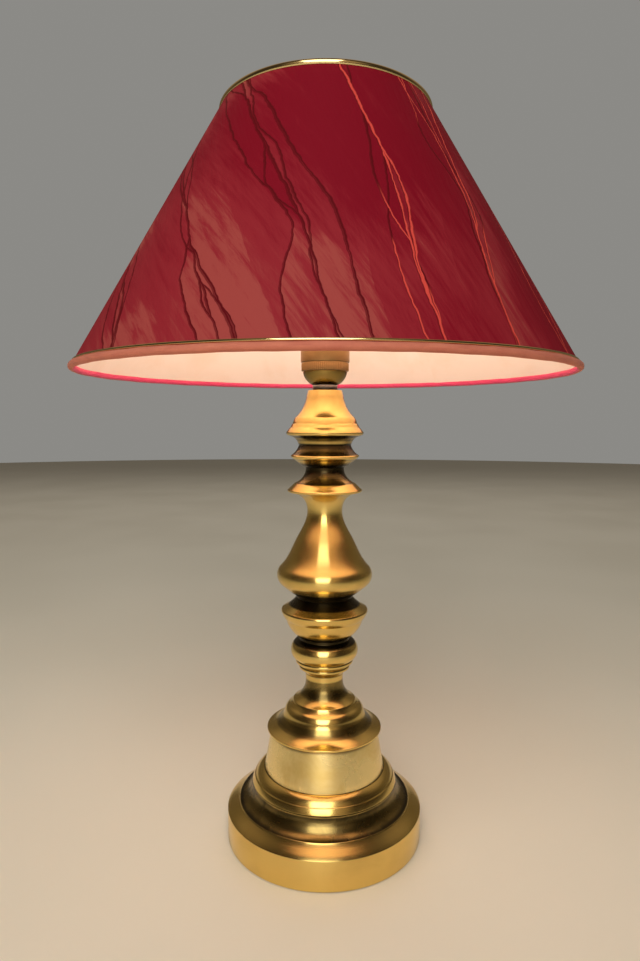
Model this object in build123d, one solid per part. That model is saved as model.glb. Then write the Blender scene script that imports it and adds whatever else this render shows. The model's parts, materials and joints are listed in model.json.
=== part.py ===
from build123d import *
import math
import os

# A brass table lamp: a weighted base, turned castings stacked on one hollow threaded rod,
# a screw lampholder with its bulb, and a conical shade clamped on the lampholder.
# Millimetres, +Z up. The origin is on the table, under the middle of the base.

# Fits
rod_gap = 0.2  # between the rod and a casting's bore
thread_gap = 0.05  # between two threads, which are plain cylinders here
register_gap = 0.15  # between a spigot and its socket
turning_gap = 0.3  # between pieces that turn or slide past each other

# Felt, weight and the clamp under the base
felt_thickness = 2.0
felt_margin = 1.2  # from the felt's edge to the inside of the plinth wall
weight_margin = 6.0  # from the weight's edge to the cord gland
weight_thickness = 14.0
recess_margin = 2.0  # round the washer, in the weight
recess_clearance = 1.5  # from the rod's end to the felt
washer_radius = 12.0
washer_thickness = 1.5
nut_across_flats = 17.0
nut_height = 5.0
rod_radius = 5.0
rod_bore_radius = 3.75
rod_tail = 1.0  # rod below the base nut
spacer_radius = 8.0
clamp_plate_thickness = 3.0
clamp_plate_overlap = 5.0  # plate under the plinth's seat

# Plinth, from its lower edge up to the seat of the band
plinth_lift = 0.8  # wall above the table, so that the lamp stands on its felt
plinth_radius = 84.7
plinth_wall_rise = 24.9
plinth_skin = 2.2
rim_width = 10.3
rim_rise = 7.0
bead_width = 0.9
bead_rise = 0.9
cove_width = 11.3
cove_rise = 13.8
cove_hollow = 3.2
lip_width = 0.7
lip_rise = 1.4
fillet_width = 2.1
fillet_rise = 4.5
groove_width = 0.9
groove_rise = 0.6
torus_width = 7.2
torus_rise = 6.1
torus_swell = 1.0
seat_width = 11.0

# Conical band
band_inset = 0.5  # from the edge of the plinth's seat
band_draft = 6.0  # narrower at its top
band_rise = 34.2
band_skin = 2.0
register_depth = 3.0
register_wall = 2.0

# Dome with its flared neck
dome_overhang = 3.6  # past the band's upper edge
dome_edge_rise = 1.6
dome_shoulder_radius = 35.2
dome_rise = 11.8
dome_hollow = 2.0
dome_skin = 3.0
step_edge_rise = 1.8
step_radius = 30.4
step_rise = 6.3
step_swell = 0.9
shelf_radius = 27.6
shelf_rise = 2.4
flare_radius = 27.0
flare_edge_rise = 1.4
flare_rise = 12.6
flare_hollow = 1.8
dome_neck_radius = 16.7
dome_neck_rise = 11.2
neck_hollow = 0.5

# Castings in common
casting_wall = 3.0
casting_web = 5.0  # closed stretch at each end of a casting
spigot_radius = 8.5
spigot_height = 2.0
ledge = 0.6  # width of a small turned step
ledge_rise = 0.5

# Lower knop
knop_disc_radius = 22.0
knop_disc_rise = 4.5
knop_disc_hollow = 0.7
knop_edge_rise = 1.7
knop_ring_radius = 25.0
knop_ring_rise = 3.2
knop_bulge_radius = 29.2
knop_bulge_rise = 8.4
knop_crown_rise = 9.2
knop_top_radius = 21.8
knop_top_rise = 2.1

# Lower bowl
bowl_side_radius = 33.4
bowl_side_rise = 15.7
bowl_side_swell = 2.0
bowl_lip_radius = 37.5
bowl_lip_rise = 6.9
bowl_lip_swell = 0.5
bowl_edge_rise = 1.3
bowl_top_radius = 24.2
bowl_top_rise = 10.2
bowl_top_hollow = 1.0

# Pear-shaped bell
pear_foot_radius = 25.4
pear_foot_rise = 2.4
pear_under_radius = 30.4
pear_under_rise = 3.6
pear_shelf_radius = 36.6
pear_shelf_rise = 4.6
pear_belly_radius = 41.0
pear_belly_rise = 7.6
pear_shoulder_radius = 38.0
pear_shoulder_rise = 7.8
pear_flank_radius = 25.2
pear_flank_rise = 21.9
pear_neck_radius = 15.0
pear_neck_rise = 25.6
pear_trumpet_radius = 30.2
pear_trumpet_rise = 16.4
pear_sweep_rise = 2.4  # how steeply the trumpet ends, over its reach

# Neck ring
ring_foot_radius = 30.8
ring_edge_radius = 31.9
ring_edge_rise = 1.7
ring_edge_swell = 0.3
ring_tier_radius = 30.4
ring_tier_rise = 1.4
ring_mid_radius = 26.3
ring_mid_rise = 3.4
ring_hollow_radius = 17.2
ring_hollow_rise = 8.0
ring_hollow = 1.1
ring_neck_radius = 16.5
ring_neck_rise = 5.6
ring_neck_hollow = 0.4

# Upper ring
collar_flare_radius = 20.4
collar_flare_rise = 2.0
collar_tier_radius = 25.0
collar_tier_rise = 3.4
collar_edge_radius = 29.1
collar_edge_rise = 3.0
collar_edge_swell = 0.4
collar_crown_rise = 1.0
collar_top_radius = 22.1
collar_top_rise = 8.4
collar_top_hollow = 1.0

# Top bell
bell_foot_radius = 22.7
bell_foot_rise = 1.6
bell_cup_radius = 27.2
bell_cup_rise = 5.4
bell_cup_hollow = 0.6
bell_under_radius = 31.6
bell_under_rise = 1.4
bell_rim_radius = 32.7
bell_rim_rise = 2.4
bell_rim_swell = 0.4
bell_slope_radius = 29.8
bell_slope_rise = 3.6
bell_step_radius = 27.9
bell_step_rise = 2.6
bell_side_radius = 25.0
bell_side_rise = 5.3
bell_side_swell = 0.3
bell_trumpet_radius = 15.4
bell_trumpet_rise = 17.6
bell_trumpet_hollow = 1.7
bell_top_radius = 14.2
bell_top_rise = 4.6

# Lock collar and lampholder
lock_radius = 10.4
lock_height = 4.4
cap_foot_radius = 10.5
cap_inset = 1.25  # from the knurl to the cap's shoulder
cap_rise = 11.6
cap_swell = 1.9
cap_wall = 1.5
cap_boss_radius = 8.2
cap_boss_height = 6.7
cap_spigot_rise = 5.6
grub_radius = 1.4
knurl_inset = 0.55  # from the skirt to the knurl
knurl_depth = 0.45
knurl_rise = 6.2
knurl_count = 72
line_rise = 1.1
skirt_radius = 20.5
skirt_wall = 2.2
skirt_rise = 14.3
skirt_thread_inset = 0.8
skirt_thread_rise = 27.0
skirt_lip_gap = 1.3  # round the screw shell
skirt_lip_height = 1.5
insert_height = 12.7
terminal_spread = 10.0
terminal_radius = 1.7
terminal_length = 7.0
terminal_head_radius = 3.0
terminal_head_height = 2.0
shell_radius = 14.2
shell_wall = 0.8
shell_height = 25.0
spring_length = 12.0
spring_width = 5.0
spring_thickness = 0.5
spring_rise = 1.5

# Bulb
tip_radius = 4.5
tip_height = 1.5
insulator_height = 4.0
thread_cap_height = 20.0
thread_cap_wall = 0.4
bulb_radius = 30.0
bulb_length = 104.0
bulb_neck_inset = 4.0  # glass inside the screw cap
bulb_glass_wall = 0.8
bulb_shoulder_angle = 35.0  # below the middle of the globe
stem_radius = 4.0
stem_height = 34.0
stem_flange_height = 1.5
lead_radius = 0.4
lead_foot = 3.0
lead_spread = 11.0
lead_height = 15.0
filament_radius = 0.25
filament_sag = 4.0

# Shade rings and carrier
shade_ring_wall = 2.65
shade_ring_flange_width = 4.6
shade_ring_flange_height = 2.0
shade_ring_height = 6.0
ring_knurl_count = 48
ring_knurl_depth = 0.5
carrier_margin = 6.0  # past the shade rings
carrier_thickness = 1.5
carrier_gap = 0.6
arm_count = 3
arm_radius = 1.7

# Shade
hem_drop = 29.2  # from the carrier ring down to the bottom wire
hem_radius = 2.8  # rolled hem, its section
hem_ring_radius = 200.4
hem_gap = 0.3  # between the rolled hem and its wire
wire_radius = 1.6
shade_rise = 206.2  # from the bottom wire to the top edge of the sheets
shade_top_radius = 83.6
cover_thickness = 0.6
lining_thickness = 0.7
piping_width = 2.2  # along the cover's slope
piping_bulge = 1.1
trim_radius = 2.6
top_wire_gap = 0.8  # under the top trim

# Cord gland in the rear wall
gland_bore_radius = 3.5
gland_radius = 5.0
gland_flange_radius = 7.0
gland_flange_thickness = 2.2
gland_nut_across_flats = 13.0
gland_nut_thickness = 3.0
gland_tail = 1.2

# Radii and heights that follow from the sizes above
cove_foot_radius = plinth_radius - rim_width - bead_width
cove_top_radius = cove_foot_radius - cove_width
fillet_top_radius = cove_top_radius + lip_width - fillet_width
torus_foot_radius = fillet_top_radius - groove_width
seat_radius = torus_foot_radius - torus_width
plinth_inside = plinth_radius - plinth_skin
band_foot_radius = seat_radius - band_inset
band_top_radius = band_foot_radius - band_draft
band_taper = band_draft / band_rise
dome_radius = band_top_radius + dome_overhang
weight_top = felt_thickness + weight_thickness
recess_top = felt_thickness + recess_clearance + rod_tail + nut_height + washer_thickness
nut_top = recess_top - washer_thickness
rod_bottom = nut_top - nut_height - rod_tail
gland_height = plinth_lift + plinth_wall_rise / 2
flange_back = plinth_radius + gland_flange_thickness
nut_corner = gland_nut_across_flats / math.sqrt(3)
nut_face = math.sqrt(plinth_inside ** 2 - nut_corner ** 2)
gland_front = nut_face - gland_nut_thickness - gland_tail
weight_radius = gland_front - weight_margin
shade_slope = (shade_top_radius - hem_ring_radius) / shade_rise
slant = math.hypot(1, shade_slope)  # a sheet's level width over its thickness


def bow(start, end, swell):
    # An arc that swells outwards, or is hollow where swell is negative, or a straight line where it is zero
    return SagittaArc(start, end, -swell) if swell else Line(start, end)


def chain(*points):
    return [Line(a, b) for a, b in zip(points, points[1:])]


def walk(foot, steps):
    # An outline that climbs from the foot: each step is its new radius, its rise and its swell
    edges = []
    for radius, rise, swell in steps:
        after = (radius, foot[1] + rise)
        edges.append(bow(foot, after, swell))
        foot = after
    return edges, foot


def spun(section):
    # A solid of revolution from a half section drawn as radius and height
    return revolve(Plane.XZ * section, Axis.Z)


def turned(edges):
    return spun(make_face(edges))


def disc(radius, bottom, top):
    return Pos(0, 0, bottom) * Cylinder(radius, top - bottom, align=(Align.CENTER, Align.CENTER, Align.MIN))


def tube(outer, inner, bottom, top):
    return disc(outer, bottom, top) - disc(inner, bottom, top)


def bar(start, end, radius):
    # A round bar between two points
    along = Vector(*end) - Vector(*start)
    place = Plane(origin=start, z_dir=along.normalized())
    return place * Cylinder(radius, along.length, align=(Align.CENTER, Align.CENTER, Align.MIN))


def across(radius, start, end):
    # A round bar along Y at the cord gland's height
    return bar((0, start, gland_height), (0, end, gland_height), radius)


def hoop(ring, section, height):
    return Pos(0, 0, height) * Torus(ring, section)


def knurled(radius, depth, count, bottom, top):
    # A disc with pointed upright ridges round its edge
    points = []
    for index in range(2 * count):
        angle = math.pi * index / count
        reach = radius - depth * (index % 2)
        points.append((reach * math.cos(angle), reach * math.sin(angle)))
    return Pos(0, 0, bottom) * extrude(make_face(Polyline(*points, close=True)), top - bottom)


def hexagon(across_flats, thickness):
    return extrude(RegularPolygon(across_flats / 2, 6, major_radius=False), thickness)


def casting(foot, edges, head, slimmest, spigot=True):
    # A turned brass piece: bored for the rod, hollow between its webs, with a socket below and a spigot above
    bottom = foot[1]
    top = head[1]
    solid = turned(edges + chain(head, (0, top), (0, bottom), foot))
    solid -= disc(slimmest - casting_wall, bottom + casting_web, top - casting_web)
    solid -= disc(spigot_radius + register_gap, bottom, bottom + spigot_height + register_gap)
    if spigot:
        solid += disc(spigot_radius, top, top + spigot_height)
    return solid - disc(rod_radius + rod_gap, bottom, top + spigot_height)


def crest(foot, radius, rise, end_radius, end_rise):
    # One arc from the foot, over a crest of the given radius, and in again
    top = (radius, foot[1] + rise)
    end = (end_radius, top[1] + end_rise)
    return [ThreePointArc(foot, top, end)], end


def plinth():
    # Spun shell: wall, sloped rim, hollow cove, fillet and torus, with a seat for the band
    outside, (_, seat) = walk((plinth_radius, plinth_lift), [
        (plinth_radius, plinth_wall_rise, 0),
        (plinth_radius - rim_width, rim_rise, 0),
        (cove_foot_radius, bead_rise, bead_rise / 4),
        (cove_top_radius, cove_rise, -cove_hollow),
        (cove_top_radius + lip_width, lip_rise, 0),
        (fillet_top_radius, fillet_rise, 0),
        (torus_foot_radius, groove_rise, 0),
        (seat_radius, torus_rise, torus_swell),
    ])
    seat_edge = seat_radius - seat_width
    wall_top = plinth_lift + plinth_wall_rise
    cove_foot = (cove_foot_radius - plinth_skin, wall_top + rim_rise + bead_rise - plinth_skin)
    cove_head = (cove_top_radius - plinth_skin, cove_foot[1] + cove_rise)
    inside = chain(
        (seat_radius, seat),
        (seat_edge, seat),
        (seat_edge, seat - plinth_skin),
        (seat_radius - plinth_skin, seat - plinth_skin),
        (torus_foot_radius - plinth_skin, seat - plinth_skin - torus_rise),
        cove_head,
    )
    inside.append(bow(cove_foot, cove_head, -cove_hollow))
    inside += chain(
        cove_foot,
        (plinth_inside, wall_top - plinth_skin / 2),
        (plinth_inside, plinth_lift),
        (plinth_radius, plinth_lift),
    )
    register = band_foot_radius - band_taper * register_depth - band_skin - register_gap
    solid = turned(outside + inside)
    solid += tube(register, register - register_wall, seat - plinth_skin, seat + register_depth)
    return solid - across(gland_radius + register_gap, gland_front, flange_back), seat


def dome(bottom):
    # Cap over the band: a wide flared lip, a stepped torus and a second flare up into the column's first neck
    outside, (neck, top) = walk((dome_radius, bottom), [
        (dome_radius, dome_edge_rise, 0),
        (dome_shoulder_radius, dome_rise, -dome_hollow),
        (dome_shoulder_radius - ledge, step_edge_rise, 0),
        (step_radius, step_rise, step_swell),
        (step_radius - ledge, ledge_rise, 0),
        (shelf_radius, shelf_rise, 0),
        (flare_radius, flare_edge_rise, 0),
        (dome_neck_radius, flare_rise, -flare_hollow),
        (dome_neck_radius, dome_neck_rise, -neck_hollow),
    ])
    shoulder = bottom + dome_edge_rise + dome_rise
    flare_foot = shoulder + step_edge_rise + step_rise + ledge_rise + shelf_rise + flare_edge_rise
    register = band_top_radius - band_skin - register_gap
    bore = rod_radius + rod_gap
    inside = chain(
        (neck, top),
        (bore, top),
        (bore, flare_foot + flare_rise - dome_skin),
        (dome_neck_radius - dome_skin, flare_foot + flare_rise - dome_skin),
        (flare_radius - dome_skin, flare_foot - dome_skin),
        (dome_shoulder_radius - dome_skin, shoulder - dome_skin),
        (register - register_wall, bottom + dome_edge_rise),
        (register - register_wall, bottom - register_depth),
        (register, bottom - register_depth),
        (register, bottom),
        (dome_radius, bottom),
    )
    spigot = tube(spigot_radius, bore, top, top + spigot_height)
    return turned(outside + inside) + spigot, top


# Base
base_plinth, plinth_top = plinth()
clamp_plate_radius = seat_radius - seat_width + clamp_plate_overlap
clamp_plate_top = plinth_top - plinth_skin
clamp_plate_bottom = clamp_plate_top - clamp_plate_thickness
felt_pad = disc(plinth_inside - felt_margin, 0, felt_thickness)
base_weight = disc(weight_radius, felt_thickness, weight_top)
base_weight -= disc(washer_radius + recess_margin, felt_thickness, recess_top)
base_weight -= disc(rod_radius + rod_gap, felt_thickness, weight_top)
base_washer = tube(washer_radius, rod_radius + rod_gap, nut_top, recess_top)
base_nut = Pos(0, 0, nut_top - nut_height) * hexagon(nut_across_flats, nut_height)
base_nut -= disc(rod_radius + thread_gap, rod_bottom, nut_top)
clamp_plate = tube(clamp_plate_radius, rod_radius + rod_gap, clamp_plate_bottom, clamp_plate_top)
base_spacer = tube(spacer_radius, rod_radius + rod_gap, weight_top, clamp_plate_bottom)

band_top = plinth_top + band_rise
base_band = turned(chain(
    (band_foot_radius, plinth_top),
    (band_top_radius, band_top),
    (band_top_radius - band_skin, band_top),
    (band_foot_radius - band_skin, plinth_top),
    (band_foot_radius, plinth_top),
))
base_dome, dome_top = dome(band_top)

# Column of castings, from the bottom up
def knop(foot):
    rings, shoulder = walk(foot, [
        (knop_disc_radius, knop_disc_rise, -knop_disc_hollow),
        (knop_disc_radius, knop_edge_rise, 0),
        (knop_disc_radius - ledge, ledge_rise, 0),
        (knop_ring_radius, knop_ring_rise, 0),
        (knop_ring_radius, knop_edge_rise, 0),
        (knop_ring_radius - ledge, ledge_rise, 0),
    ])
    crown_radius = knop_top_radius + ledge
    bulge, crown = crest(shoulder, knop_bulge_radius, knop_bulge_rise, crown_radius, knop_crown_rise)
    lip, head = walk(crown, [
        (knop_top_radius, ledge_rise, 0),
        (knop_top_radius, knop_top_rise, 0),
    ])
    return casting(foot, rings + bulge + lip, head, foot[0]), head


def bowl(foot):
    edges, head = walk(foot, [
        (bowl_side_radius, bowl_side_rise, bowl_side_swell),
        (bowl_side_radius + ledge, ledge_rise, 0),
        (bowl_lip_radius, bowl_lip_rise, bowl_lip_swell),
        (bowl_lip_radius - ledge, bowl_edge_rise, 0),
        (bowl_top_radius, bowl_top_rise, -bowl_top_hollow),
    ])
    return casting(foot, edges, head, foot[0]), head


def pear(foot):
    under, shelf = walk(foot, [
        (pear_foot_radius, pear_foot_rise, 0),
        (pear_under_radius, pear_under_rise, 0),
        (pear_under_radius + ledge, ledge_rise, 0),
        (pear_shelf_radius, pear_shelf_rise, 0),
        (pear_shelf_radius + ledge, ledge_rise, 0),
    ])
    belly, shoulder = crest(
        shelf, pear_belly_radius, pear_belly_rise, pear_shoulder_radius, pear_shoulder_rise
    )
    flank = (pear_flank_radius, shoulder[1] + pear_flank_rise)
    neck = (pear_neck_radius, flank[1] + pear_neck_rise)
    head = (pear_trumpet_radius, neck[1] + pear_trumpet_rise)
    down_flank = (neck[0] - shoulder[0], neck[1] - shoulder[1])
    sweep_out = (head[0] - neck[0], pear_sweep_rise)
    side = Spline(shoulder, flank, neck, head, tangents=(belly[0] % 1, down_flank, (0, 1), sweep_out))
    solid = casting(foot, under + belly + [side], head, pear_neck_radius)
    hollow = turned(chain(
        (0, shelf[1]),
        (pear_shelf_radius - casting_wall, shelf[1]),
        (pear_shoulder_radius - casting_wall, shoulder[1]),
        (pear_flank_radius - casting_wall, flank[1]),
        (0, flank[1]),
        (0, shelf[1]),
    ))
    return solid - hollow, head


def neck_collar(foot):
    edges, head = walk(foot, [
        (ring_edge_radius, ring_edge_rise, ring_edge_swell),
        (ring_tier_radius, ring_tier_rise, 0),
        (ring_tier_radius - ledge, ledge_rise, 0),
        (ring_mid_radius, ring_mid_rise, 0),
        (ring_mid_radius - ledge, ledge_rise, 0),
        (ring_hollow_radius, ring_hollow_rise, -ring_hollow),
        (ring_neck_radius, ring_neck_rise, -ring_neck_hollow),
    ])
    return casting(foot, edges, head, ring_neck_radius), head


def collar(foot):
    edges, head = walk(foot, [
        (collar_flare_radius, collar_flare_rise, 0),
        (collar_flare_radius + ledge, ledge_rise, 0),
        (collar_tier_radius, collar_tier_rise, 0),
        (collar_tier_radius + ledge, ledge_rise, 0),
        (collar_edge_radius, collar_edge_rise, collar_edge_swell),
        (collar_edge_radius - ledge, collar_crown_rise, 0),
        (collar_top_radius, collar_top_rise, -collar_top_hollow),
    ])
    return casting(foot, edges, head, foot[0]), head


def bell(foot):
    edges, head = walk(foot, [
        (bell_foot_radius, bell_foot_rise, 0),
        (bell_cup_radius, bell_cup_rise, -bell_cup_hollow),
        (bell_under_radius, bell_under_rise, 0),
        (bell_rim_radius, bell_rim_rise, bell_rim_swell),
        (bell_slope_radius, bell_slope_rise, 0),
        (bell_slope_radius - ledge, ledge_rise, 0),
        (bell_step_radius, bell_step_rise, 0),
        (bell_step_radius - ledge, ledge_rise, 0),
        (bell_side_radius, bell_side_rise, bell_side_swell),
        (bell_side_radius - ledge, ledge_rise, 0),
        (bell_trumpet_radius, bell_trumpet_rise, -bell_trumpet_hollow),
        (bell_top_radius, bell_top_rise, 0),
    ])
    return casting(foot, edges, head, bell_top_radius, spigot=False), head


lower_knop, knop_head = knop((dome_neck_radius, dome_top))
lower_bowl, bowl_head = bowl(knop_head)
pear_bell, pear_head = pear(bowl_head)
neck_ring, ring_head = neck_collar((ring_foot_radius, pear_head[1]))
upper_ring, collar_head = collar(ring_head)
top_bell, bell_head = bell(collar_head)

# Lock collar, rod and lampholder
cap_bottom = bell_head[1] + lock_height
cap_shoulder = cap_bottom + cap_rise
insert_bottom = cap_shoulder + cap_spigot_rise
insert_top = insert_bottom + insert_height
line_bottom = cap_shoulder + knurl_rise
skirt_bottom = line_bottom + line_rise
thread_bottom = skirt_bottom + skirt_rise
thread_top = thread_bottom + skirt_thread_rise
skirt_bore = skirt_radius - skirt_wall
skirt_thread_radius = skirt_radius - skirt_thread_inset
knurl_radius = skirt_radius - knurl_inset
cap_radius = knurl_radius - cap_inset
cap_spigot_radius = skirt_bore - thread_gap
lip_radius = shell_radius + skirt_lip_gap
cap_boss_top = cap_bottom + cap_boss_height
grub_height = (cap_bottom + cap_wall + cap_boss_top) / 2

lock_collar = tube(lock_radius, rod_radius + thread_gap, bell_head[1], cap_bottom)
centre_rod = tube(rod_radius, rod_bore_radius, rod_bottom, cap_boss_top)


def holder_dome():
    foot = (cap_foot_radius, cap_bottom)
    shoulder = (cap_radius, cap_shoulder)
    inner_foot = (cap_foot_radius, cap_bottom + cap_wall)
    inner_shoulder = (cap_spigot_radius - cap_wall, cap_shoulder)
    bore = rod_radius + thread_gap
    edges = [bow(foot, shoulder, cap_swell)]
    edges += chain(
        shoulder,
        (cap_spigot_radius, cap_shoulder),
        (cap_spigot_radius, insert_bottom),
        (cap_spigot_radius - cap_wall, insert_bottom),
        inner_shoulder,
    )
    edges.append(bow(inner_foot, inner_shoulder, cap_swell))
    edges += chain(
        inner_foot,
        (cap_boss_radius, cap_bottom + cap_wall),
        (cap_boss_radius, cap_boss_top),
        (bore, cap_boss_top),
        (bore, cap_bottom),
        foot,
    )
    hole = bar((0, 0, grub_height), (0, cap_radius, grub_height), grub_radius + thread_gap)
    return turned(edges) - hole


holder_cap = holder_dome()
cap_grub_screw = bar((0, rod_radius, grub_height), (0, cap_boss_radius, grub_height), grub_radius)
cap_grub_screw -= disc(rod_radius + thread_gap, cap_bottom, cap_boss_top)

holder_skirt = knurled(knurl_radius, knurl_depth, knurl_count, cap_shoulder, line_bottom)
holder_skirt += disc(knurl_radius - knurl_depth, line_bottom, skirt_bottom)
holder_skirt += disc(skirt_radius, skirt_bottom, thread_bottom)
holder_skirt += disc(skirt_thread_radius, thread_bottom, thread_top)
holder_skirt -= disc(skirt_bore, cap_shoulder, insert_top)
holder_skirt -= disc(lip_radius, insert_top, insert_top + skirt_lip_height)
holder_skirt -= disc(skirt_thread_radius - skirt_wall, insert_top + skirt_lip_height, thread_top)

holder_insert = disc(skirt_bore - register_gap, insert_bottom, insert_top)
terminal_screws = []
for side in (-1, 1):
    place = Pos(side * terminal_spread, 0, 0)
    screw_top = insert_bottom + terminal_length
    holder_insert -= place * disc(terminal_radius + thread_gap, insert_bottom, screw_top)
    screw = disc(terminal_radius, insert_bottom, screw_top)
    screw += disc(terminal_head_radius, insert_bottom - terminal_head_height, insert_bottom)
    terminal_screws.append(place * screw)

screw_shell = tube(shell_radius, shell_radius - shell_wall, insert_top, insert_top + shell_height)
spring_end = spring_length / 2
spring_face = make_face([
    SagittaArc((-spring_end, 0), (spring_end, 0), spring_rise),
    Line((spring_end, 0), (spring_end, spring_thickness)),
    SagittaArc((-spring_end, spring_thickness), (spring_end, spring_thickness), spring_rise),
    Line((-spring_end, spring_thickness), (-spring_end, 0)),
])
centre_contact = Pos(0, 0, insert_top) * extrude(Plane.XZ * spring_face, spring_width / 2, both=True)

# Bulb, from its contact up
tip_bottom = insert_top + spring_thickness + spring_rise + turning_gap
tip_top = tip_bottom + tip_height
insulator_top = tip_top + insulator_height
cap_top = insulator_top + thread_cap_height
thread_cap_radius = shell_radius - shell_wall - turning_gap
glass_bottom = cap_top - bulb_neck_inset
globe_height = tip_bottom + bulb_length - bulb_radius
bulb_neck_radius = thread_cap_radius - thread_cap_wall - register_gap


def globe(inset):
    # The bulb's outline, moved in by the glass where inset is its wall
    neck = bulb_neck_radius - inset
    radius = bulb_radius - inset
    angle = math.radians(bulb_shoulder_angle)
    shoulder = (radius * math.cos(angle), globe_height - radius * math.sin(angle))
    crown = (0, globe_height + radius)
    edges = chain((0, crown[1]), (0, glass_bottom), (neck, glass_bottom), (neck, cap_top))
    edges.append(Spline((neck, cap_top), shoulder, tangents=((0, 1), (math.sin(angle), math.cos(angle)))))
    edges.append(ThreePointArc(shoulder, (radius, globe_height), crown))
    return turned(edges)


bulb_contact = disc(tip_radius, tip_bottom, tip_top)
bulb_insulator = turned(chain(
    (0, tip_top),
    (tip_radius, tip_top),
    (thread_cap_radius, insulator_top),
    (0, insulator_top),
    (0, tip_top),
))
bulb_cap = tube(thread_cap_radius, thread_cap_radius - thread_cap_wall, insulator_top, cap_top)
bulb_glass = globe(0) - globe(bulb_glass_wall)
stem_bottom = glass_bottom
stem_top = stem_bottom + stem_height
bulb_stem = disc(stem_radius, stem_bottom, stem_top)
stem_flange_radius = bulb_neck_radius - bulb_glass_wall - register_gap
bulb_stem += disc(stem_flange_radius, stem_bottom, stem_bottom + stem_flange_height)
lead_tip = stem_top + lead_height
bulb_leads = [
    bar((side * lead_foot, 0, stem_top), (side * lead_spread, 0, lead_tip), lead_radius) - bulb_stem
    for side in (-1, 1)
]
filament_path = SagittaArc((-lead_spread, lead_tip), (lead_spread, lead_tip), filament_sag)
filament_line = Plane.XZ * filament_path
filament_section = Plane(origin=filament_line @ 0, z_dir=filament_line % 0) * Circle(filament_radius)
bulb_filament = sweep(filament_section, path=filament_line) - bulb_leads[0] - bulb_leads[1]

# Shade rings and the carrier that they clamp
flange_bottom = thread_bottom + shade_ring_height - shade_ring_flange_height
carrier_bottom = thread_bottom + shade_ring_height
carrier_top = carrier_bottom + carrier_thickness
upper_flange_top = carrier_top + shade_ring_flange_height
ring_bore = skirt_thread_radius + thread_gap
shade_ring_hub_radius = ring_bore + shade_ring_wall
shade_ring_flange_radius = shade_ring_hub_radius + shade_ring_flange_width
carrier_radius = shade_ring_flange_radius + carrier_margin
ring_lift = carrier_top + shade_ring_height


def shade_ring(hub_bottom, hub_top, rim_bottom, rim_top):
    solid = disc(shade_ring_hub_radius, hub_bottom, hub_top)
    solid += knurled(shade_ring_flange_radius, ring_knurl_depth, ring_knurl_count, rim_bottom, rim_top)
    return solid - disc(ring_bore, hub_bottom, hub_top) - disc(ring_bore, rim_bottom, rim_top)


shade_ring_lower = shade_ring(thread_bottom, flange_bottom, flange_bottom, carrier_bottom)
shade_ring_upper = shade_ring(upper_flange_top, ring_lift, carrier_top, upper_flange_top)
carrier_ring = tube(carrier_radius, skirt_thread_radius + carrier_gap, carrier_bottom, carrier_top)

# Shade: wires, lining, cover, hem, piping and top trim
wire_height = carrier_bottom - hem_drop
shade_top = wire_height + shade_rise


def sheet_radius(height):
    # Where the cover and the lining meet
    return hem_ring_radius + shade_slope * (height - wire_height)


def sheet_section(outward, inward, bottom, top):
    # A sloping strip, reaching out and in from where the cover and the lining meet
    outer = outward * slant
    inner = inward * slant
    return make_face(chain(
        (sheet_radius(bottom) + outer, bottom),
        (sheet_radius(top) + outer, top),
        (sheet_radius(top) - inner, top),
        (sheet_radius(bottom) - inner, bottom),
        (sheet_radius(bottom) + outer, bottom),
    ))


def round_section(ring, height, radius):
    return Pos(ring, height) * Circle(radius)


sheet_bottom = wire_height + wire_radius
shade_cover = spun(sheet_section(cover_thickness, 0, sheet_bottom, shade_top))
shade_lining = spun(sheet_section(0, lining_thickness, sheet_bottom, shade_top))
shade_bottom_wire = hoop(hem_ring_radius, wire_radius, wire_height)
hem_section = round_section(hem_ring_radius, wire_height, hem_radius)
hem_section -= round_section(hem_ring_radius, wire_height, wire_radius + hem_gap)
hem_section -= sheet_section(cover_thickness, lining_thickness, wire_height, sheet_bottom + hem_radius)
bottom_hem = spun(hem_section)
piping_foot = wire_height + hem_radius
piping_top = piping_foot + piping_width / slant
piping_low = (sheet_radius(piping_foot) + cover_thickness * slant, piping_foot)
piping_high = (sheet_radius(piping_top) + cover_thickness * slant, piping_top)
bottom_piping = turned([bow(piping_low, piping_high, piping_bulge), Line(piping_high, piping_low)])
trim_section = round_section(shade_top_radius, shade_top, trim_radius)
trim_section -= sheet_section(cover_thickness, lining_thickness, shade_top - 2 * trim_radius, shade_top)
top_trim = spun(trim_section)
top_wire_height = shade_top - trim_radius - wire_radius - top_wire_gap
top_wire_ring = sheet_radius(top_wire_height) - (lining_thickness + wire_radius + thread_gap) * slant
shade_top_wire = hoop(top_wire_ring, wire_radius, top_wire_height)

arm_foot = carrier_radius - 2 * arm_radius
carrier_arms = []
for index in range(arm_count):
    turn = Rot(0, 0, 90 + 360 * index / arm_count)
    arm = turn * bar((arm_foot, 0, carrier_bottom), (top_wire_ring, 0, top_wire_height), arm_radius)
    arm -= disc(carrier_radius + arm_radius, carrier_bottom - arm_radius, carrier_top)
    carrier_arms.append(arm - hoop(top_wire_ring, wire_radius, top_wire_height))

# Cord gland through the rear wall
cord_gland = across(gland_flange_radius, gland_front, flange_back) - disc(plinth_radius, 0, plinth_top)
cord_gland += across(gland_radius, gland_front, flange_back)
cord_gland -= across(gland_bore_radius, gland_front, flange_back)
gland_nut_place = Pos(0, nut_face, gland_height) * Rot(90, 0, 0)
gland_nut = gland_nut_place * hexagon(gland_nut_across_flats, gland_nut_thickness)
gland_nut -= across(gland_radius + thread_gap, gland_front, flange_back)

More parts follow.
